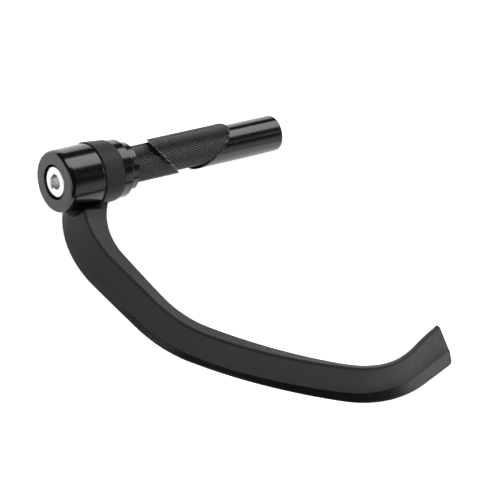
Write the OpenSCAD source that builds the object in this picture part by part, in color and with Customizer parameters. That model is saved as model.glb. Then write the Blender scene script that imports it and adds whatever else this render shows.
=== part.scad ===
// Lever guard that clamps into the open end of a handlebar.
// +X runs along the bar, into it. The arm's plane is XY, with the arm towards -Y.
// The origin is on the bar axis, at the inner end of the plug's straight wall.

/* [Shown piece] */
// Which piece is drawn

/* [End cap] */
// Diameter of the cap
cap_d = 26.2; // [20:0.1:34]
// Length of the cap along the bar
cap_len = 16.7; // [10:0.1:30]
// Diameter of the flat on the outer face
cap_face_d = 23.8; // [14:0.1:32]
// Length of the rounded shoulder behind the flat
cap_shoulder = 2.6; // [0.5:0.1:6]
// Diameter of the recess round the screw head
recess_d = 14.7; // [13.4:0.1:18]

/* [Clamp screw] */
// Nominal thread diameter
screw_d = 8; // [5:0.5:10]
// Advance of the thread in one turn
screw_pitch = 1.25; // [0.8:0.05:1.5]
// Diameter of the head
head_d = 13; // [8:0.1:16]
// Height of the head
head_h = 8; // [5:0.1:10]
// Depth of the head's top below the cap's face
head_sunk = 0.3; // [0:0.1:3]
// Width across the flats of the hexagon socket
socket_af = 6; // [4:0.5:8]
// Depth of the hexagon socket
socket_depth = 4.2; // [2:0.1:6]
// Distance from the cap's face to the tip of the thread
screw_reach = 100; // [60:1:130]

/* [Guard arm eye] */
// Width of the eye along the bar
eye_w = 9.9; // [6:0.1:16]
// Diameter of the eye beside the cap
eye_d_out = 27.2; // [22:0.1:36]
// Diameter of the eye beside the collar
eye_d_in = 25.6; // [22:0.1:36]
// Diameter of the relief that lets the arm pass round the cap
relief_d = 31.2; // [27:0.1:40]

/* [Guard arm path] */
// Distance from the cap's face to the start of the outer lower edge
arm_x0 = 9.95; // [4:0.1:18]
// Distance of that start in front of the bar axis
arm_f0 = 3.3; // [0:0.1:12]
// Heading of the arm at the eye, measured from the bar axis
arm_heading = 126.1; // [90:0.1:140]
// Length of the root that runs back into the eye
root_len = 14; // [6:0.5:20]
// Radius of the first bend on the outer edge
bend1_r = 40.9; // [20:0.1:80]
// Angle of the first bend
bend1_deg = 56; // [20:0.1:90]
// Straight length between the first two bends
strut_len = 24.4; // [5:0.1:60]
// Radius of the second bend on the outer edge
bend2_r = 48.7; // [20:0.1:90]
// Angle of the second bend
bend2_deg = 31.6; // [10:0.1:60]
// Length of the long blade in front of the lever
blade_len = 69.6; // [40:0.1:120]
// Angle through which the blade bows
blade_deg = 14.6; // [0:0.1:30]
// Radius of the bend before the tip
bend3_r = 60.8; // [30:0.1:90]
// Angle of the bend before the tip
bend3_deg = 40.3; // [10:0.1:60]
// Straight length of the tip
tip_len = 18.9; // [8:0.1:40]

/* [Guard arm section] */
// Height of the arm below the plane of the bar axis
arm_h = 18.2; // [10:0.1:26]
// Height of the lower bevel of the outer face
bevel_h = 3.5; // [1:0.1:8]
// Thickness of the arm at the eye
root_t = 15.3; // [10:0.1:20]
// Thickness of the arm along the blade
blade_t = 9; // [5:0.1:14]
// Lean of the outer face at the tip, from its foot to its top
tip_lean = 14; // [4:0.1:18]
// Lean of the outer face at the root
root_lean = 2.5; // [0:0.1:5]
// Depth of the lower bevel at the tip
tip_bevel = 5.5; // [1:0.1:8]
// Fall of the top face towards its inner edge
top_fall = 3; // [0:0.1:6]
// Slant of the end of the tip, in length for each unit of height
end_slant = 0.31; // [0:0.01:1]
// Radius of the arm's long edges
edge_r = 0.8; // [0.3:0.1:2]

/* [Inner collar] */
// Diameter of the spigot on which the eye turns
spigot_d = 18; // [14:0.1:22]
// Diameter of the band
band_d = 24.4; // [20:0.1:32]
// Length of the band
band_len = 5; // [2:0.1:12]
// Diameter of the neck that meets the end of the bar
neck_d = 20.4; // [16:0.1:26]
// Length of the neck
neck_len = 3.9; // [2:0.1:10]
// Width of each notch in the neck
notch_w = 3.2; // [1:0.1:6]
// Depth of each notch along the bar
notch_depth = 2.2; // [0.5:0.1:3.5]
// Number of notches
notches = 4; // [2:1:8]
// Angle of the first notch about the bar
notch_turn = 20; // [0:1:90]

/* [Bar plug] */
// Diameter of the three wedges
plug_d = 15.5; // [12:0.1:20]
// Distance from the cap's face to the middle of the first slanted joint
joint_a = 55.5; // [45:0.1:70]
// Distance from the cap's face to the middle of the second slanted joint
joint_b = 77; // [65:0.1:95]
// Distance from the cap's face to the inner end of the plug
plug_end = 113; // [95:0.1:140]
// Distance by which the middle wedge stands out to the side
spread = 1.6; // [0:0.05:1.7]
// Direction of the spread, turned about the bar from the arm plane's normal
spread_turn = 22; // [0:1:360]
// Diameter of the clearance bore in the middle wedge
slot_bore_d = 11.6; // [9:0.1:13]
// Depth of the outer wedge's seat in the collar
seat_depth = 2.5; // [1:0.1:4]
// Rounding of the plug's inner end
end_round = 0.8; // [0.2:0.1:2]

/* [Fits] */
// Clearance on each side of the eye along the bar
eye_side_gap = 0.1; // [0.05:0.05:0.4]
// Radial clearance of the eye on the spigot
eye_gap = 0.05; // [0.02:0.01:0.1]
// Radial clearance of the thread in the end wedge
thread_gap = 0.05; // [0.02:0.01:0.1]
// Radial clearance of the screw in the cap, the collar and the outer wedge
screw_gap = 0.5; // [0.2:0.1:1]
// Clearance between two slanted faces
slant_gap = 0.04; // [0.02:0.01:0.1]
// Radial clearance of the outer wedge in its seat
seat_gap = 0.35; // [0.1:0.05:0.6]

/* [Hidden] */
$fn = 96;

black_gloss = "#17181a";
black_satin = "#1d1e20";
black_plastic = "#262729";
steel = "#c4c6c8";

origin_x = plug_end - end_round;
eye_x = cap_len + eye_side_gap;
band_x = eye_x + eye_w + eye_side_gap;
neck_x = band_x + band_len;
neck_end = neck_x + neck_len;
seat_x = neck_end - seat_depth;
bore_r = screw_d / 2 + screw_gap;
past = 1;
reach = 30;

// A solid turned about the bar axis from a profile of [radius, distance from the cap's face].
module turned(profile) {
    rotate([0, 90, 0]) rotate_extrude() polygon(profile);
}

// A straight cylinder about the bar axis between two distances from the cap's face.
module bar_cyl(r, x0, x1) {
    translate([x0, 0, 0]) rotate([0, 90, 0]) cylinder(r = r, h = x1 - x0);
}

// Points of a quarter round from [r0, x0] to [r1, x1] that bulges outwards.
function quarter(r0, x0, r1, x1, n = 6) =
    [for (i = [0 : n]) let (a = 90 * i / n)
        [r0 + (r1 - r0) * sin(a), x1 + (x0 - x1) * cos(a)]];

// Frame with +Z towards the side on which the middle wedge comes out.
module spread_frame() {
    rotate([-spread_turn, 0, 0]) children();
}

// A bar of the plug's length range cut by slanted faces, drawn in the spread frame.
module side_cut(points) {
    rotate([90, 0, 0]) linear_extrude(height = 2 * reach, center = true) polygon(points);
}

module end_cap() {
    color(black_gloss) translate([-origin_x, 0, 0]) difference() {
        turned(concat(
            [[0, 0]],
            quarter(cap_face_d / 2, 0, cap_d / 2, cap_shoulder),
            [[cap_d / 2, cap_len - 0.4], [cap_d / 2 - 0.4, cap_len], [0, cap_len]]));
        bar_cyl(recess_d / 2, -past, head_sunk + head_h);
        bar_cyl(bore_r, -past, cap_len + past);
    }
}

module clamp_screw() {
    head_x = head_sunk + head_h;
    color(steel) translate([-origin_x, 0, 0]) difference() {
        union() {
            turned([[0, head_sunk], [head_d / 2 - 0.9, head_sunk], [head_d / 2 - 0.3, head_sunk + 0.25],
                    [head_d / 2, head_sunk + 0.8], [head_d / 2, head_x], [0, head_x]]);
            turned([[0, head_x - past], [screw_d / 2, head_x - past],
                    [screw_d / 2, screw_reach - 1], [screw_d / 2 - 1, screw_reach], [0, screw_reach]]);
        }
        translate([head_sunk - past, 0, 0]) rotate([0, 90, 0])
            cylinder(d = socket_af / cos(30), h = socket_depth + past, $fn = 6);
        turned([[0, head_sunk - 0.01], [socket_af / sqrt(3) + 0.35, head_sunk - 0.01],
                [0, head_sunk + 2.1]]);
    }
}

// One stretch of the arm's outer lower edge: [length, turn].
stretches = [
    [root_len, 0],
    [bend1_r * bend1_deg * PI / 180, bend1_deg],
    [strut_len, 0],
    [bend2_r * bend2_deg * PI / 180, bend2_deg],
    [blade_len, blade_deg],
    [bend3_r * bend3_deg * PI / 180, bend3_deg],
    [tip_len, 0],
];
function total(v, k = 0) = k < len(v) ? v[k][0] + total(v, k + 1) : 0;
edge_len = total(stretches);

// [x, forward distance, heading] after a distance along a stretch.
function advance(at, stretch, d) =
    let (turn = stretch[1] * d / stretch[0],
         chord = turn == 0 ? d : d * sin(turn / 2) / (turn * PI / 360),
         h = at[2] - turn / 2)
    [at[0] + chord * cos(h), at[1] + chord * sin(h), at[2] - turn];
function along(s, at, k = 0) =
    k == len(stretches) - 1 || s <= stretches[k][0]
        ? advance(at, stretches[k], s)
        : along(s - stretches[k][0], advance(at, stretches[k], stretches[k][0]), k + 1);
edge_start = [arm_x0 - root_len * cos(arm_heading), arm_f0 - root_len * sin(arm_heading), arm_heading];

// Where the section changes, measured along the outer edge from the end of the root.
bend2_end = total([for (k = [1 : 3]) stretches[k]]);
bend3_start = bend2_end + blade_len;
bend3_end = bend3_start + stretches[5][0];
tip_end = bend3_end + tip_len;

// Insets from the outer lower edge, each against the distance along it.
foot_in = [[0, 0.7], [50, 1.1], [75, 1.9], [bend2_end + 15, 1.5], [bend3_start, tip_bevel - 2.3],
           [bend3_start + 20, tip_bevel - 1.1], [tip_end, tip_bevel]];
crest_in = [[0, root_lean], [bend2_end + 10, root_lean], [bend3_start - 14, root_lean + 2.5],
            [bend3_start + 5, tip_lean - 7.4], [bend3_start + 25, tip_lean - 4.7],
            [bend3_start + 37, tip_lean - 1.9], [bend3_end + 2, tip_lean - 0.8], [tip_end, tip_lean]];
top_in = [[0, root_t], [14, root_t - 1.4], [31, root_t - 3.3], [60, blade_t + 1.2],
          [bend2_end, blade_t + 0.5], [bend3_start - 2, blade_t + 0.2],
          [bend3_start + 18, blade_t + 1.8], [bend3_start + 26, tip_lean - 2.2],
          [bend3_start + 34, tip_lean - 0.8], [bend3_end + 4, tip_lean + 0.9], [tip_end, tip_lean + 1.5]];
sole_in = [[0, root_t - 1.8], [60, blade_t + 0.2], [bend3_start - 18, blade_t - 0.8],
           [tip_end, blade_t + 0.6]];
fall = [[0, top_fall], [bend3_start - 10, top_fall], [bend3_end, top_fall - 0.6]];

// Smoothed value of a table at a distance along the edge.
function eased(s, t) = (lookup(s - 5, t) + lookup(s, t) + lookup(s + 5, t)) / 3;

function unit(v) = v / norm(v);
function spun(v, a) = [v[0] * cos(a) - v[1] * sin(a), v[0] * sin(a) + v[1] * cos(a)];

// Points of a rounded corner at b, on a path from a to c.
function corner(a, b, c, r, n = 3) =
    let (u = unit(a - b), w = unit(c - b),
         half = acos(u * w) / 2,
         side = u[0] * w[1] - u[1] * w[0] < 0 ? 1 : -1,
         m = b + unit(u + w) * r / sin(half),
         first = b + u * r / tan(half) - m)
    [for (i = [0 : n]) m + spun(first, side * (180 - 2 * half) * i / n)];

// The arm's section: [inset from the outer lower edge, height].
function section(s) =
    let (foot = [eased(s, foot_in), -arm_h + bevel_h],
         crest = [eased(s, crest_in), 0],
         top = [eased(s, top_in), -eased(s, fall)],
         sole = [eased(s, sole_in), -arm_h],
         toe = [0, -arm_h])
    concat(corner(foot, toe, sole, edge_r), corner(toe, sole, top, 1.5 * edge_r),
           corner(sole, top, crest, edge_r), corner(top, crest, foot, edge_r),
           corner(crest, foot, toe, edge_r));

// A section stood on the path, with its end slanted back by k and drawn in by a share of its size.
function stood(s, k = 0, shrink = 0) =
    let (at = along(s + root_len, edge_start), sec = section(s),
         mid = [for (j = [0, 1]) [for (p = sec) p[j]] * [for (p = sec) 1] / len(sec)])
    [for (p = sec)
        let (q = p + (mid - p) * shrink, back = k * (q[1] + arm_h))
        [at[0] + q[0] * sin(at[2]) - back * cos(at[2]),
         -(at[1] - q[0] * cos(at[2]) - back * sin(at[2])), q[1]]];

module arm_sweep() {
    steps = 72;
    last = tip_end - arm_h * end_slant - 1;
    rings = concat(
        [for (i = [0 : steps]) stood(-root_len + (last + root_len) * i / steps)],
        [stood(tip_end - 0.5, end_slant), stood(tip_end - 0.15, end_slant, 0.015),
         stood(tip_end, end_slant, 0.05)]);
    n = len(rings[0]);
    m = len(rings);
    polyhedron(
        points = [for (ring = rings) each ring],
        faces = concat(
            [for (j = [1 : n - 2]) [0, j, j + 1]],
            [for (j = [1 : n - 2]) [for (v = [0, j + 1, j]) (m - 1) * n + v]],
            [for (i = [0 : m - 2]) for (j = [0 : n - 1]) each
                [[i * n + j, (i + 1) * n + (j + 1) % n, i * n + (j + 1) % n],
                 [i * n + j, (i + 1) * n + j, (i + 1) * n + (j + 1) % n]]]),
        convexity = 8);
}

// Space under the eye, below a plane that runs from the arm's sole to the eye's rim.
module under_eye() {
    from = [-arm_f0, -arm_h];
    r = eye_d_in / 2 + 0.4;
    turn = atan2(from[1], from[0]) + acos(r / norm(from));
    run = unit(r * [cos(turn), sin(turn)] - from);
    rotate([90, 0, 90]) linear_extrude(height = 2 * reach)
        polygon([from - 2 * run, from + reach * run, [reach, -2 * reach], [from[0] - 2, -2 * reach]]);
}

module guard_arm() {
    eye_end = eye_x + eye_w;
    color(black_plastic) translate([-origin_x, 0, 0]) difference() {
        union() {
            turned([[0, eye_x], [eye_d_out / 2 - 0.5, eye_x], [eye_d_out / 2, eye_x + 0.5],
                    [eye_d_in / 2, eye_end - 0.5], [eye_d_in / 2 - 0.5, eye_end], [0, eye_end]]);
            difference() {
                arm_sweep();
                bar_cyl(relief_d / 2, -past, eye_x);
                under_eye();
                translate([eye_end, -reach, -reach]) cube([reach, 2 * reach, 2 * reach]);
            }
        }
        bar_cyl(spigot_d / 2 + eye_gap, eye_x - past, eye_end + past);
    }
}

module inner_collar() {
    color(black_gloss) translate([-origin_x, 0, 0]) difference() {
        turned([[0, cap_len], [spigot_d / 2, cap_len], [spigot_d / 2, band_x],
                [band_d / 2 - 0.4, band_x], [band_d / 2, band_x + 0.4],
                [band_d / 2, neck_x - 0.6], [band_d / 2 - 0.6, neck_x], [neck_d / 2, neck_x],
                [neck_d / 2, neck_end], [0, neck_end]]);
        bar_cyl(bore_r, cap_len - past, neck_end);
        bar_cyl(plug_d / 2 + seat_gap, seat_x, neck_end + past);
        for (k = [0 : notches - 1])
            rotate([notch_turn + k * 360 / notches, 0, 0])
                translate([neck_end - notch_depth, -notch_w / 2, 0])
                    cube([notch_depth + past, notch_w, neck_d]);
    }
}

module fixed_wedge() {
    color(black_satin) translate([-origin_x, 0, 0]) difference() {
        spread_frame() intersection() {
            bar_cyl(plug_d / 2, seat_x, joint_a + reach);
            side_cut([[seat_x - past, -reach], [joint_a + reach, -reach],
                      [joint_a - (reach - 15), reach - 15], [seat_x - past, reach - 15]]);
        }
        bar_cyl(bore_r, seat_x - past, joint_a + reach);
    }
}

module middle_wedge() {
    g = slant_gap;
    color(black_satin) translate([-origin_x, 0, 0]) spread_frame() difference() {
        intersection() {
            translate([0, 0, spread]) bar_cyl(plug_d / 2, joint_a - reach, joint_b + reach);
            side_cut([[joint_a - reach + g, reach], [joint_a + 10 + g, -10],
                      [joint_b - 10 - g, -10], [joint_b + reach - g, reach]]);
        }
        translate([0, 0, spread]) bar_cyl(slot_bore_d / 2, joint_a - reach, joint_b + reach);
    }
}

module end_wedge() {
    r = plug_d / 2;
    color(black_satin) translate([-origin_x, 0, 0]) difference() {
        spread_frame() intersection() {
            turned(concat([[0, joint_b - reach], [r, joint_b - reach]],
                          [for (i = [0 : 4]) [r - end_round * (1 - cos(22.5 * i)),
                                              plug_end - end_round * (1 - sin(22.5 * i))]],
                          [[0, plug_end]]));
            side_cut([[joint_b - 20, -20], [plug_end + past, -20], [plug_end + past, 20],
                      [joint_b + 20, 20]]);
        }
        bar_cyl(screw_d / 2 + thread_gap, joint_b - reach, plug_end + past);
        turned([[0, plug_end - 1], [screw_d / 2 + thread_gap, plug_end - 1],
                [screw_d / 2 + thread_gap + 1, plug_end + 0.01], [0, plug_end + 0.01]]);
    }
}

end_cap();
clamp_screw();
guard_arm();
inner_collar();
fixed_wedge();
middle_wedge();
end_wedge();
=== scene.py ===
"""Looks of the lever guard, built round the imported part. Millimetres in, metres out."""

import math

import bmesh
import bpy
import numpy as np
from mathutils import Matrix, Vector


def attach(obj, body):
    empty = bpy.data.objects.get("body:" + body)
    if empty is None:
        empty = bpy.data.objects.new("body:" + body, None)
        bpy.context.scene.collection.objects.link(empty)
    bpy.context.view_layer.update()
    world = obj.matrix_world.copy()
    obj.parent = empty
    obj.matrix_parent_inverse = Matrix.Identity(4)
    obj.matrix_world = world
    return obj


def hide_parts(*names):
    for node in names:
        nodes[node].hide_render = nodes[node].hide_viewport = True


MM = 0.001

# Lengths are in millimetres. An X is a distance from the cap's outer face along the bar axis.
FACE = -112.2                               # where that face stands in the row's frame
CAP_R, CAP_LEN, CAP_BORE = 13.1, 16.7, 4.5
CROWN_R, CROWN_X = 11.9, 2.6                # where the crown's round starts and ends
HEAD_R, HEAD_DEPTH = 7.35, 8.3              # recess for the screw's head
EYE_X0, EYE_X1, EYE_BORE = 16.8, 26.7, 9.05
EYE_R0, EYE_R1 = 13.6, 12.8                 # the eye beside the cap, and beside the collar
RELIEF_R = 15.6                             # cut in the arm's root that clears the cap
PLUG_R = 7.75
JOINT_A, JOINT_B, JOINT_GAP = 55.5, 77.0, 0.04
SEAT_X, PLUG_END = 33.2, 113.0
FIXED_BORE, MIDDLE_BORE = 4.5, 5.8
SPREAD, SPREAD_TURN = 1.6, math.radians(22)   # how far and which way the middle wedge stands out
THREAD_R, THREAD_DEPTH, THREAD_PITCH = 3.45, 0.6, 1.25
THREAD_X, THREAD_TURNS = 101.2, 8.8
ARM_H = 18.2

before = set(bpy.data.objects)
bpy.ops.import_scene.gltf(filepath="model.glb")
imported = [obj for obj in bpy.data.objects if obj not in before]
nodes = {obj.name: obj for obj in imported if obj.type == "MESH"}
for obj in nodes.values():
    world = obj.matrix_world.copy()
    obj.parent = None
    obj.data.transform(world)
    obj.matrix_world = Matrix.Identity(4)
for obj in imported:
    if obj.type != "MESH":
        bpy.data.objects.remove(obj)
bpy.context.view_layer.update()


# Meshes
class Shell:
    """Collects grids of points, in millimetres from the cap's face, into one mesh."""

    def __init__(self):
        self.verts, self.faces = [], []

    def grid(self, pts, wrap_i=False, wrap_j=False, split=None):
        ni, nj = len(pts), len(pts[0])
        base = len(self.verts)
        self.verts += [tuple(p) for row in pts for p in row]
        for i in range(ni if wrap_i else ni - 1):
            for j in range(nj if wrap_j else nj - 1):
                i2, j2 = (i + 1) % ni, (j + 1) % nj
                a, b, c, d = (base + i * nj + j, base + i2 * nj + j,
                              base + i2 * nj + j2, base + i * nj + j2)
                if split is None:
                    self.faces.append((a, b, c, d))
                elif split(i, j):
                    self.faces += [(a, b, c), (a, c, d)]
                else:
                    self.faces += [(a, b, d), (b, c, d)]

    def disc(self, ring):
        base = len(self.verts)
        self.verts += [tuple(p) for p in ring]
        self.faces.append(tuple(range(base, base + len(ring))))

    def build(self, name, sharp=30.0, smooth=True, merge=0.0005):
        me = bpy.data.meshes.new(name)
        co = (np.array(self.verts, float) + (FACE, 0, 0)) * MM
        me.from_pydata([tuple(c) for c in co], [], self.faces)
        bm = bmesh.new()
        bm.from_mesh(me)
        bmesh.ops.remove_doubles(bm, verts=bm.verts, dist=merge * MM)
        bmesh.ops.dissolve_degenerate(bm, edges=bm.edges, dist=merge * MM)
        bmesh.ops.recalc_face_normals(bm, faces=bm.faces)
        bm.to_mesh(me)
        bm.free()
        ob = bpy.data.objects.new(name, me)
        bpy.context.scene.collection.objects.link(ob)
        shade(me, sharp, smooth)
        return ob


def shade(me, sharp=30.0, smooth=True):
    me.polygons.foreach_set("use_smooth", [smooth] * len(me.polygons))
    if smooth:
        me.set_sharp_from_angle(angle=math.radians(sharp))
    me.update()


def turned_points(profile, n=128, turn=0.0):
    """Rings about the bar axis for a profile of (radius, distance from the cap's face)."""
    t = np.linspace(0, 2 * math.pi, n, endpoint=False) + turn
    return [[(x, r * math.sin(a), r * math.cos(a)) for a in t] for r, x in profile]


def arc(r0, x0, r1, x1, n=10):
    """Quarter round from (r0, x0) to (r1, x1), square to the axis at its start."""
    return [(r0 + (r1 - r0) * math.sin(a), x1 + (x0 - x1) * math.cos(a))
            for a in np.linspace(0, math.pi / 2, n + 1)]


def arc_back(r0, x0, r1, x1, n=6):
    """Quarter round from (r0, x0) to (r1, x1), along the axis at its start."""
    return [(r1 + (r0 - r1) * math.cos(a), x0 + (x1 - x0) * math.sin(a))
            for a in np.linspace(0, math.pi / 2, n + 1)]


def turned(name, profile, n=128, sharp=30.0):
    s = Shell()
    s.grid(turned_points(profile, n), wrap_i=True, wrap_j=True)
    return s.build(name, sharp)


def block(name, x0, x1, outline):
    """Straight block along the bar axis, over the (Y, Z) points of an outline."""
    s = Shell()
    ends = [[(x, y, z) for y, z in outline] for x in (x0, x1)]
    s.grid(ends, wrap_j=True)
    for ring in ends:
        s.disc(ring)
    return s.build(name)


def boolean(ob, other, how):
    m = ob.modifiers.new("cut", "BOOLEAN")
    m.operation, m.object, m.solver = how, other, "EXACT"
    bpy.context.view_layer.update()
    me = bpy.data.meshes.new_from_object(ob.evaluated_get(bpy.context.evaluated_depsgraph_get()))
    ob.modifiers.clear()
    old = ob.data
    ob.data = me
    bpy.data.meshes.remove(old)
    bpy.data.objects.remove(other)


def weighted(ob):
    """Keeps flats flat beside their rounds."""
    m = ob.modifiers.new("weighted_normals", "WEIGHTED_NORMAL")
    m.keep_sharp = True
    m.weight = 90
    return ob


# Guard arm
# Length and turn in degrees of each stretch of the outer lower edge, from the root to the tip.
STRETCHES = [(14, 0), (40.9 * math.radians(56), 56), (24.4, 0), (48.7 * math.radians(31.6), 31.6),
             (69.6, 14.6), (60.8 * math.radians(40.3), 40.3), (18.9, 0)]
HEADING = 126.1        # of the root, in degrees
START = (9.95 - 14 * math.cos(math.radians(HEADING)), 3.3 - 14 * math.sin(math.radians(HEADING)))
B2 = sum(k[0] for k in STRETCHES[1:4])
B3 = B2 + STRETCHES[4][0]
B3E = B3 + STRETCHES[5][0]
TIP = B3E + STRETCHES[6][0]
# What changes along the arm, as (length along the edge, value). FOOT, CREST, TOP and SOLE are how far
# corners of the section stand in from that edge, FALL how far the top face drops on the inner side,
# and FLARE how far the toe of the bevel stands out.
FOOT = ((0, 0.7), (50, 1.1), (75, 1.9), (B2 + 15, 1.5), (B3, 3.2), (B3 + 20, 4.4), (TIP, 5.5))
CREST = ((0, 2.5), (B2 + 10, 2.5), (B3 - 14, 5.0), (B3 + 5, 6.6), (B3 + 25, 9.3),
         (B3 + 37, 12.1), (B3E + 2, 13.2), (TIP, 14.0))
TOP = ((0, 15.3), (14, 13.9), (31, 12.0), (60, 10.2), (B2, 9.5), (B3 - 2, 9.2), (B3 + 18, 10.8),
       (B3 + 26, 11.8), (B3 + 34, 13.2), (B3E + 4, 14.9), (TIP, 15.5))
SOLE = ((0, 13.5), (60, 9.2), (B3 - 18, 8.2), (TIP, 9.6))
FALL = ((0, 3), (B3 - 10, 3), (B3E, 2.4))
FLARE = ((0, 0), (B2, 0), (B3 - 20, 0.2), (B3, 0.7), (B3 + 20, 1.4), (B3E, 1.9), (TIP, 2.6))
END_BACK = ((-18.2, 1.0), (-14.7, -2.8), (0, 5.64))     # height, set-back of the tip's end


def table(s, t):
    """Value of a table at length s, smoothed over 14 mm."""
    xs, ys = zip(*t)
    return float(np.mean([np.interp(s + d, xs, ys) for d in np.linspace(-7, 7, 9)]))


def along(s):
    """Point of the outer lower edge and heading, after a length s from the end of the root."""
    x, f, h = START[0], START[1], math.radians(HEADING)
    s += STRETCHES[0][0]
    for k, (length, turn) in enumerate(STRETCHES):
        d = s if k == len(STRETCHES) - 1 else min(s, length)
        t = math.radians(turn) * d / length
        chord = d if t == 0 else d * math.sin(t / 2) / (t / 2)
        x, f, h = x + chord * math.cos(h - t / 2), f + chord * math.sin(h - t / 2), h - t
        s -= d
        if s <= 1e-9:
            break
    return x, f, h


def rounded(corners, radii, n=4, hold=0.25):
    """Polygon with rounded corners, and a held point beside each round so that the flats shade flat."""
    out = []
    for k, b in enumerate(corners):
        a, c = corners[k - 1], corners[(k + 1) % len(corners)]
        u, w = (np.array(a) - b), (np.array(c) - b)
        u, w = u / np.linalg.norm(u), w / np.linalg.norm(w)
        half = math.acos(float(u @ w)) / 2
        side = 1 if u[0] * w[1] - u[1] * w[0] < 0 else -1
        r = radii[k]
        m = np.array(b) + (u + w) / np.linalg.norm(u + w) * r / math.sin(half)
        cut = r / math.tan(half)
        first = np.array(b) + u * cut - m
        out.append(np.array(b) + u * (cut + hold))
        for i in range(n + 1):
            g = side * (math.pi - 2 * half) * i / n
            out.append(m + (first[0] * math.cos(g) - first[1] * math.sin(g),
                            first[0] * math.sin(g) + first[1] * math.cos(g)))
        out.append(np.array(b) + w * (cut + hold))
    return out


def section(s):
    """Rounded outline of the arm at length s, as (distance in, height) points."""
    foot, crest = (table(s, FOOT), -ARM_H + 3.5), (table(s, CREST), 0.0)
    top, sole = (table(s, TOP), -table(s, FALL)), (table(s, SOLE), -ARM_H)
    toe = (-table(s, FLARE), -ARM_H)
    return rounded([toe, sole, top, crest, foot], [0.8, 1.2, 0.8, 0.8, 0.7])


def stood(s, end=False, shrink=0.0):
    """The section in its place. end sets it back to the tip's slanted end, and shrink rounds it off."""
    x, f, h = along(s)
    sec = np.array(section(s))
    sec = sec + (sec.mean(0) - sec) * shrink
    back = np.interp(sec[:, 1], *zip(*END_BACK)) if end else 0 * sec[:, 1]
    return [(x + i * math.sin(h) - b * math.cos(h), -(f - i * math.cos(h) - b * math.sin(h)), z)
            for (i, z), b in zip(sec, back)]


def guard_arm():
    last = TIP - ARM_H * 0.31 - 1
    rings = [stood(s) for s in np.linspace(-14, last, 170)]
    rings += [stood(TIP - d, True, k) for d, k in
              ((0.8, 0), (0.5, 0), (0.3, 0.005), (0.12, 0.018), (0.03, 0.032), (0, 0.05))]
    s = Shell()
    s.grid(rings, wrap_j=True)
    s.disc(rings[0])
    s.disc(rings[-1])
    arm = s.build("guard_arm_moulding")
    relief = [(0, -5), (RELIEF_R, -5), (RELIEF_R, EYE_X0), (0, EYE_X0)]
    boolean(arm, turned("relief", relief, 160), "DIFFERENCE")
    trim = ((-30, -30), (30, -30), (30, 30), (-30, 30))
    boolean(arm, block("trim", EYE_X1, 60, trim), "DIFFERENCE")
    # Under the eye the root ends on a line from its foot that touches a circle round the bar axis.
    p, r = np.array([-3.3, -ARM_H]), 13.2
    g = math.atan2(p[1], p[0]) + math.acos(r / np.linalg.norm(p))
    d = r * np.array([math.cos(g), math.sin(g)]) - p
    d = d / np.linalg.norm(d)
    under = [p - 2 * d, p + 30 * d, (30, -60), (p[0] - 2, -60)]
    boolean(arm, block("under", -5, 60, under), "DIFFERENCE")
    edge = 0.5
    eye = turned("eye", [(0, EYE_X0), (EYE_R0 - edge, EYE_X0)]
                 + arc(EYE_R0 - edge, EYE_X0, EYE_R0, EYE_X0 + edge, 5)
                 + arc_back(EYE_R1, EYE_X1 - edge, EYE_R1 - edge, EYE_X1, 5) + [(0, EYE_X1)], 192)
    boolean(arm, eye, "UNION")
    bore = [(0, 10), (EYE_BORE, 10), (EYE_BORE, 35), (0, 35)]
    boolean(arm, turned("bore", bore, 128), "DIFFERENCE")
    shade(arm.data, 27)
    return weighted(arm)


# Plug
PITCH = 1.0            # between two grooves, square to them
HELIX = math.radians(30)
KNURL = 0.3            # depth of the grooves


def spread_frame(x, side, up):
    """Row Y and Z of a point given across and along the direction of the spread."""
    c, s = math.cos(SPREAD_TURN), math.sin(SPREAD_TURN)
    return (x, side * c + up * s, -side * s + up * c)


def knurled_wedge(name, bore, start, end, shift=0.0):
    """Wedge with a diamond knurl. start and end give the distance from the cap's face at (side, up)."""
    step = PITCH / (2 * math.sin(HELIX))
    around = 2 * round(2 * math.pi * PLUG_R * math.cos(HELIX) / PITCH)
    angles = 2 * math.pi * np.arange(around) / around
    edge = [(PLUG_R * math.sin(a), shift + PLUG_R * math.cos(a)) for a in angles]
    lo = [start(*e) for e in edge]
    hi = [end(*e) for e in edge]
    first, last = math.floor(min(lo) / step), math.ceil(max(hi) / step)
    rows = []
    for i in range(first, last + 1):
        row = []
        for j, a in enumerate(angles):
            x = min(max(i * step, lo[j]), hi[j])
            inside = min(x - lo[j], hi[j] - x)
            r = PLUG_R - (KNURL if (i + j) % 2 == 0 and inside > 0.05 else 0.0)
            row.append(spread_frame(x, r * math.sin(a), shift + r * math.cos(a)))
        rows.append(row)
    s = Shell()
    s.grid(rows, wrap_j=True, split=lambda i, j: (i + first + j) % 2 == 0)
    holes = [(bore * math.sin(a), shift + bore * math.cos(a)) for a in angles]
    for cut, rim in ((start, lo), (end, hi)):
        s.grid([[spread_frame(rim[j], *edge[j]) for j in range(around)],
                [spread_frame(cut(*h), *h) for h in holes]], wrap_j=True)
    s.grid([[spread_frame(start(*h), *h) for h in holes],
            [spread_frame(end(*h), *h) for h in holes]], wrap_j=True)
    ob = s.build(name, smooth=False, merge=0.002)
    # Height of each point in the knurl, 0 in a groove and 1 on a point: the knurled material paints shade
    # into the grooves by it.
    crest = ob.data.attributes.new("crest", "FLOAT", "POINT")
    mid = np.array(spread_frame(0, 0, shift)[1:])
    co = np.array([v.co for v in ob.data.vertices])[:, 1:] / MM - mid
    crest.data.foreach_set("value", np.clip((np.hypot(*co.T) - PLUG_R + KNURL) / KNURL, 0, 1))
    return ob


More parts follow.
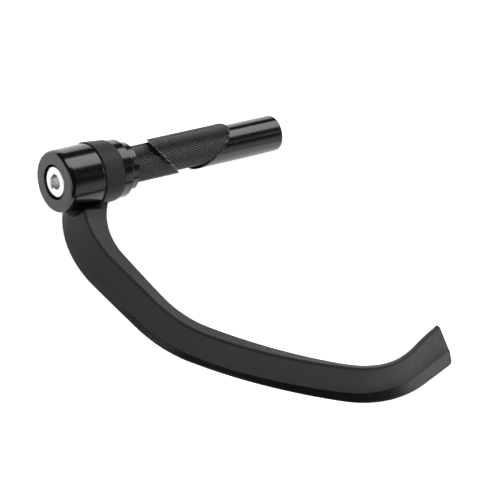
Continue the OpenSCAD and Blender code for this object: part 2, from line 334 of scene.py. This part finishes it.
def knurled_wedges():
    """The outer and the middle wedge. Their joints slant at 45 degrees, A one way and B the other."""
    fixed = knurled_wedge("fixed_wedge_knurled", FIXED_BORE,
                          lambda y, z: SEAT_X, lambda y, z: JOINT_A - z)
    middle = knurled_wedge("middle_wedge_knurled", MIDDLE_BORE, lambda y, z: JOINT_A - z + JOINT_GAP,
                           lambda y, z: JOINT_B + z - JOINT_GAP, shift=SPREAD)
    return fixed, middle


def tapped_thread(n=48, per_turn=6):
    """Thread in the end wedge: a zigzag wound along the bar axis and cut square at both ends.

    The winding starts 0.6 mm before the cut.
    """
    rows = []
    for i in range(int(THREAD_TURNS * per_turn) + 1):
        x0 = THREAD_X - 0.6 + i * THREAD_PITCH / per_turn
        r = THREAD_R + THREAD_DEPTH * abs(1 - 2 * ((i / per_turn) % 1))
        rows.append([(min(max(x0 + THREAD_PITCH * j / n, THREAD_X), PLUG_END - 1),
                      r * math.sin(t), r * math.cos(t))
                     for j, t in enumerate(np.linspace(0, 2 * math.pi, n + 1))])
    s = Shell()
    s.grid(rows)
    return s.build("end_wedge_thread", 40)


# Materials
def linear(code):
    """Linear colour from an sRGB hex code."""
    c = [int(code[i:i + 2], 16) / 255 for i in (1, 3, 5)]
    return [v / 12.92 if v <= 0.04045 else ((v + 0.055) / 1.055) ** 2.4 for v in c] + [1.0]


def node(tree, kind, ins=None, **settings):
    n = tree.nodes.new("ShaderNode" + kind)
    for key, value in settings.items():
        setattr(n, key, value)
    for key, value in (ins or {}).items():
        if isinstance(value, bpy.types.NodeSocket):
            tree.links.new(value, n.inputs[key])
        else:
            n.inputs[key].default_value = value
    return n


def material(name, colour, **settings):
    m = bpy.data.materials.new(name)
    m.use_nodes = True
    m.diffuse_color = linear(colour)
    shader = m.node_tree.nodes["Principled BSDF"]
    shader.inputs["Base Color"].default_value = linear(colour)
    for key, value in settings.items():
        shader.inputs[key.replace("_", " ")].default_value = value
    return m, m.node_tree, shader


def place(tree, scale):
    """Row position in millimetres, stretched by the scale of each axis."""
    where = node(tree, "TexCoord").outputs["Object"]
    return node(tree, "VectorMath", {0: where, 1: [v / MM for v in scale]},
                operation="MULTIPLY").outputs[0]


def varied(tree, vector, low, high, detail=3.0, scale=1.0):
    """Noise mapped to a range."""
    n = node(tree, "TexNoise", {"Vector": vector, "Scale": scale, "Detail": detail})
    return node(tree, "MapRange", {"Value": n.outputs[0], "From Min": 0.3, "From Max": 0.7,
                                   "To Min": low, "To Max": high}).outputs[0]


def bumped(tree, shader, height, distance, strength=1.0):
    b = node(tree, "Bump", {"Height": height, "Distance": distance * MM, "Strength": strength})
    tree.links.new(b.outputs[0], shader.inputs["Normal"])


def anodised_turned():
    # Turned aluminium under a black anodic film: sharp axial reflections, faintly broken by tool rings.
    m, t, s = material("black_anodised_aluminium_turned", "#070708", Roughness=0.16, Specular_IOR_Level=0.62)
    rings = varied(t, place(t, (6.0, 0.15, 0.15)), 0.13, 0.2)
    t.links.new(rings, s.inputs["Roughness"])
    return m


def anodised_blasted():
    # The cap's face, blasted before the film: an even grey-black with no mirror image.
    m, t, s = material("black_anodised_aluminium_blasted", "#1b1c1e", Roughness=0.42, Specular_IOR_Level=0.6)
    bumped(t, s, varied(t, place(t, (9, 9, 9)), 0, 1, 2.0), 0.01, 0.5)
    return m


def anodised_knurled():
    # Knurl rolled into the aluminium before the film: small facets that each catch the light.
    # The points are painted lighter as a painted highlight, and the grooves between them are painted near
    # black as painted shade, with their reflection turned down too.
    m, t, s = material("black_anodised_aluminium_knurled", "#151617", Roughness=0.3, Specular_IOR_Level=0.6)
    crest = node(t, "Attribute", attribute_name="crest").outputs["Fac"]
    sharp = node(t, "Math", {0: crest, 1: 1.6}, operation="POWER").outputs[0]
    # Painted shade and highlight: near black down in the grooves, lighter up on the points.
    tone_with_painted_shade = node(t, "MixRGB", {0: sharp, 1: linear("#050506"), 2: linear("#3c3d3f")}).outputs[0]
    t.links.new(tone_with_painted_shade, s.inputs["Base Color"])
    # Reflection turned down in the grooves, a painted shade.
    painted_groove_shade_specular = node(t, "MapRange", {"Value": crest, "To Min": 0.08, "To Max": 0.9}).outputs[0]
    t.links.new(painted_groove_shade_specular, s.inputs["Specular IOR Level"])
    t.links.new(varied(t, place(t, (1.5, 1.5, 1.5)), 0.24, 0.38), s.inputs["Roughness"])
    return m


def moulded_nylon():
    # Glass-filled nylon from a spark-eroded mould: matt, with a fine grain that breaks the light.
    m, t, s = material("glass_filled_nylon_moulded", "#252628", Roughness=0.45, Specular_IOR_Level=0.15)
    where = place(t, (2.2, 2.2, 2.2))
    bumped(t, s, varied(t, where, 0, 1, 4.0), 0.035, 0.8)
    t.links.new(varied(t, place(t, (0.5, 0.5, 0.5)), 0.4, 0.5), s.inputs["Roughness"])
    return m


def polished_nylon_painted_shade():
    # The lower bevel comes from a polished face of the mould: it mirrors the lamps where it turns up. Its
    # colour is darker than the rest of the arm's, a painted shade.
    m, t, s = material("glass_filled_nylon_polished_painted_shade", "#17181a", Roughness=0.24, Specular_IOR_Level=0.25)
    t.links.new(varied(t, place(t, (0.8, 0.8, 0.8)), 0.2, 0.28), s.inputs["Roughness"])
    return m


def plated_steel():
    # Cold-headed steel with bright zinc: near white where it meets the light, soft in its reflections.
    m, t, s = material("zinc_plated_steel_headed", "#dcdddd", Roughness=0.28, Metallic=1.0)
    t.links.new(varied(t, place(t, (1.2, 1.2, 1.2)), 0.22, 0.34), s.inputs["Roughness"])
    return m


TURNED, BLASTED, KNURLED = anodised_turned(), anodised_blasted(), anodised_knurled()
NYLON, BEVEL_PAINTED_SHADE, ZINC = moulded_nylon(), polished_nylon_painted_shade(), plated_steel()


def wear(ob, mat):
    ob.data.materials.clear()
    ob.data.materials.append(mat)


hold = 0.3             # points held beside the rounds, so that the flats shade flat
cap = turned("end_cap_turned", [(HEAD_R, HEAD_DEPTH), (HEAD_R, 0.25)]
             + arc_back(HEAD_R, 0.25, HEAD_R + 0.2, 0.0, 3)
             + [(HEAD_R + 0.45, 0.0), (CROWN_R - hold, 0.0)] + arc(CROWN_R, 0, CAP_R, CROWN_X, 14)
             + [(CAP_R, CROWN_X + hold), (CAP_R, CAP_LEN - 0.4 - hold)]
             + arc_back(CAP_R, CAP_LEN - 0.4, CAP_R - 0.4, CAP_LEN, 4)
             + [(CAP_BORE, CAP_LEN), (CAP_BORE, HEAD_DEPTH)], 192, 40)
wear(cap, TURNED)
cap.data.materials.append(BLASTED)
for poly in cap.data.polygons:
    if poly.normal.x < -0.98 and poly.center.x < (FACE + 0.3) * MM:
        poly.material_index = 1
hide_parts("end_cap")
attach(cap, "hub")

arm = guard_arm()
wear(arm, NYLON)
arm.data.materials.append(BEVEL_PAINTED_SHADE)
BEVEL_TOP = -14.65     # the bevel's faces lie below this height and look up
# Faces below that height that look up take the bevel's glossier material, whose darker colour is painted
# shade.
for poly in arm.data.polygons:
    if poly.center.z < BEVEL_TOP * MM and poly.normal.z > 0.15:
        poly.material_index = 1
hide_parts("guard_arm")
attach(arm, "arm")

fixed, middle = knurled_wedges()
thread = tapped_thread()
for ob, cad, body in ((fixed, "fixed_wedge", "hub"), (middle, "middle_wedge", "middle")):
    wear(ob, KNURLED)
    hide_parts(cad)
    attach(ob, body)
wear(thread, TURNED)
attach(thread, "end")

for name, mat in (("clamp_screw", ZINC), ("inner_collar", TURNED), ("end_wedge", TURNED),
                  ("end_cap", TURNED), ("guard_arm", NYLON), ("fixed_wedge", KNURLED),
                  ("middle_wedge", KNURLED)):
    wear(nodes[name], mat)

# Stage
UP = Vector((-0.105, -0.133, 1.0)).normalized()   # the table's normal when the plug's end touches down
lowest = min(UP.dot(v.co) for n in nodes.values() for v in n.data.vertices)
me = bpy.data.meshes.new("table_top")
side = UP.cross(Vector((0, 1, 0))).normalized()
fore = UP.cross(side)
mid = UP * (lowest - 0.0001)
me.from_pydata([mid + side * a + fore * b for a, b in ((-3, -3), (3, -3), (3, 3), (-3, 3))],
               [], [(0, 1, 2, 3)])
table_top = bpy.data.objects.new("table_top", me)
bpy.context.scene.collection.objects.link(table_top)


PAPER = "#f4f4f4"


def white_paper():
    # White paper sweep: seen direct or in a reflection it burns out, and only contact shadows show.
    # Its colour for diffuse light is painted darker away from the camera, a painted shade for the light that
    # it throws back.
    m, t, s = material("white_paper_sweep", PAPER, Roughness=0.95, Specular_IOR_Level=0.0)
    rays = node(t, "LightPath").outputs
    seen = node(t, "Math", {0: rays["Is Glossy Ray"], 1: rays["Is Transmission Ray"]},
                operation="MAXIMUM").outputs[0]
    seen = node(t, "Math", {0: seen, 1: rays["Is Camera Ray"]}, operation="MAXIMUM").outputs[0]
    away = node(t, "VectorMath", {0: node(t, "TexCoord").outputs["Object"], 1: (0.7, 0.7, 0)},
                operation="DOT_PRODUCT").outputs["Value"]
    # Painted shade: the colour that diffuse rays see falls off away from the camera.
    shade_off = node(t, "MapRange", {"Value": away, "From Min": -0.07, "From Max": 0.05,
                                     "To Min": 0.85, "To Max": 0.03}).outputs[0]
    tone_with_painted_shade = node(t, "MixRGB", {0: seen, 1: shade_off, 2: linear(PAPER)}).outputs[0]
    t.links.new(tone_with_painted_shade, s.inputs["Base Color"])
    glow = node(t, "Math", {0: seen, 1: 0.85}, operation="MULTIPLY").outputs[0]
    s.inputs["Emission Color"].default_value = (1, 1, 1, 1)
    t.links.new(glow, s.inputs["Emission Strength"])
    return m


wear(table_top, white_paper())

SURROUND = 0.045       # the dark room round the lamps
# Lamps: direction, up, half width, half height, edge softness, strength
BOXES = [
    ((0.58, 0.35, 0.73), (0, 0.9, -0.43), 0.95, 0.33, 0.06, 3.4),
    ((0.84, -0.51, 0.18), (0, 0, 1), 0.22, 0.2, 0.12, 3.0),
    ((0.58, -0.80, 0.10), (0, 0, 1), 0.35, 0.35, 0.2, 0.8),
    ((0.77, -0.28, 0.57), (0, 0, 1), 0.17, 0.15, 0.06, 4.2),
    ((-0.85, -0.35, 0.35), (0, 0, 1), 0.5, 0.3, 0.25, 2.2),
]


def sky():
    """Softboxes in a dark room for the object, and plain white for the camera."""
    world = bpy.data.worlds.new("studio")
    bpy.context.scene.world = world
    world.use_nodes = True
    t = world.node_tree
    t.nodes.clear()
    look = node(t, "TexCoord").outputs["Generated"]

    def dot(v):
        return node(t, "VectorMath", {0: look, 1: v}, operation="DOT_PRODUCT").outputs["Value"]

    def calc(how, a, b=0.0):
        return node(t, "Math", {0: a, 1: b}, operation=how).outputs[0]

    total = SURROUND
    for towards, up, half_w, half_h, soft, strength in BOXES:
        d = Vector(towards).normalized()
        u = Vector(up)
        u = (u - d * u.dot(d)).normalized()
        deep = calc("MAXIMUM", dot(d), 0.001)
        mask = calc("GREATER_THAN", dot(d), 0.01)
        for axis, half in ((d.cross(u), half_w), (u, half_h)):
            off = calc("ABSOLUTE", calc("DIVIDE", dot(axis), deep))
            inside = node(t, "MapRange", {"Value": off, "From Min": half - soft, "From Max": half + soft,
                                          "To Min": 1.0, "To Max": 0.0},
                          interpolation_type="SMOOTHSTEP").outputs[0]
            mask = calc("MULTIPLY", mask, inside)
        total = calc("ADD", calc("MULTIPLY", mask, strength), total)
    rays = node(t, "LightPath")
    lit = node(t, "Background", {"Color": total})
    plain = node(t, "Background", {"Color": (1, 1, 1, 1)})
    pick = node(t, "MixShader", {0: rays.outputs["Is Camera Ray"], 1: lit.outputs[0], 2: plain.outputs[0]})
    out = node(t, "OutputWorld")
    t.links.new(pick.outputs[0], out.inputs[0])


sky()

# Camera
scene = bpy.context.scene
scene.view_settings.view_transform = "Standard"
# Place and turn of the camera, fitted to the photograph: the picture's right, up and back in the row.
eye = Vector((-781.092, -505.282, 931.065)) * MM
right, up, back = (Vector(v) for v in
                   ((0.789046, -0.467187, 0.398926), (0.199512, 0.809039, 0.552856),
                    (-0.581034, -0.356639, 0.731579)))
cam = bpy.data.objects.new("camera", bpy.data.cameras.new("camera"))
scene.collection.objects.link(cam)
cam.matrix_world = Matrix.Translation(eye) @ Matrix((right, up, back)).transposed().to_4x4()
cam.data.sensor_width, cam.data.lens = 36.0, 221.4
cam.data.clip_start, cam.data.clip_end = 0.05, 20.0
scene.camera = cam
